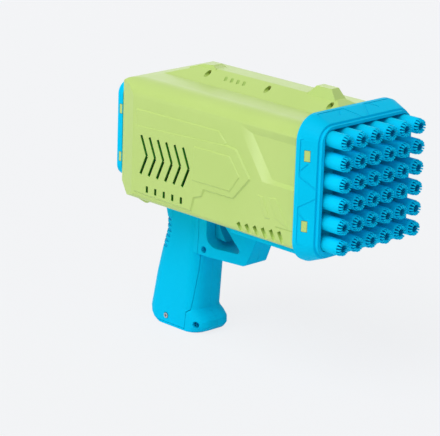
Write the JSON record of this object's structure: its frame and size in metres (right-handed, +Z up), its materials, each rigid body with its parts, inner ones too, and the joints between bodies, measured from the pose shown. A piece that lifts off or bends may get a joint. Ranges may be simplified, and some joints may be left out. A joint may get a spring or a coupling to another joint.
{
  "type": "toy bubble blower",
  "caption": "Toy bubble blower with a wide square barrel, a field of crowned nozzles, a fan inside, a battery grip and a trigger that works a switch.",
  "frame": {"origin": "middle of the grip, at the centre plane", "axes": "+X towards the muzzle, +Z up, right side at -Y"},
  "size_m": [0.2435, 0.113, 0.2275],
  "materials": {
    "green_plastic": "satin moulded ABS",
    "blue_plastic": "satin moulded ABS",
    "inner_plastic": "plain moulded ABS",
    "black_plastic": "plain moulded plastic",
    "white_plastic": "plain moulded plastic",
    "battery_case": "plain dark sleeve",
    "steel": "zinc plated",
    "brass": "bare strip",
    "red_wire": "wire insulation",
    "black_wire": "wire insulation"
  },
  "bodies": {
    "blower": {"right_shell": "green_plastic", "left_shell": "green_plastic", "shell_screws": "steel", "front_bezel": "blue_plastic", "nozzle_plate": "blue_plastic", "rear_cap": "blue_plastic", "right_grip": "blue_plastic", "left_grip": "blue_plastic", "grip_screws": "steel", "belly_screws": "steel", "trigger_spring": "steel", "switch_carrier": "inner_plastic", "switch_body": "black_plastic", "battery_tray": "inner_plastic", "batteries": "battery_case", "battery_contacts": "steel", "contact_springs": "steel", "fan_frame": "inner_plastic", "motor": "steel", "motor_end_bell": "white_plastic", "motor_terminals": "brass", "red_lead": "red_wire", "black_lead": "black_wire"},
    "trigger": {"trigger": "blue_plastic"},
    "switch_plunger": {"switch_plunger": "white_plastic"},
    "fan_rotor": {"motor_shaft": "steel", "fan_impeller": "white_plastic"},
    "battery_door": {"battery_cover": "blue_plastic", "battery_cover_screw": "steel"}
  },
  "joints": [
    {"name": "trigger_pull", "type": "slide", "parent": "blower", "child": "trigger", "axis": [-1, 0, 0], "range_m": [0, 0.005], "stiffness_N_per_m": 500, "springref_m": -0.004, "deforming": ["trigger_spring"]},
    {"name": "switch_press", "type": "slide", "parent": "blower", "child": "switch_plunger", "axis": [-1, 0, 0], "range_m": [0, 0.005]},
    {"name": "fan_spin", "type": "hinge", "parent": "blower", "child": "fan_rotor", "pos_m": [0.092, 0, 0.108], "axis": [1, 0, 0], "continuous": true},
    {"name": "battery_cover_off", "type": "slide", "parent": "blower", "child": "battery_door", "axis": [0, -1, 0], "range_m": [0, 0.035]}
  ],
  "couplings": [
    {"joint": "switch_press", "follows": "trigger_pull", "ratio": 1}
  ]
}
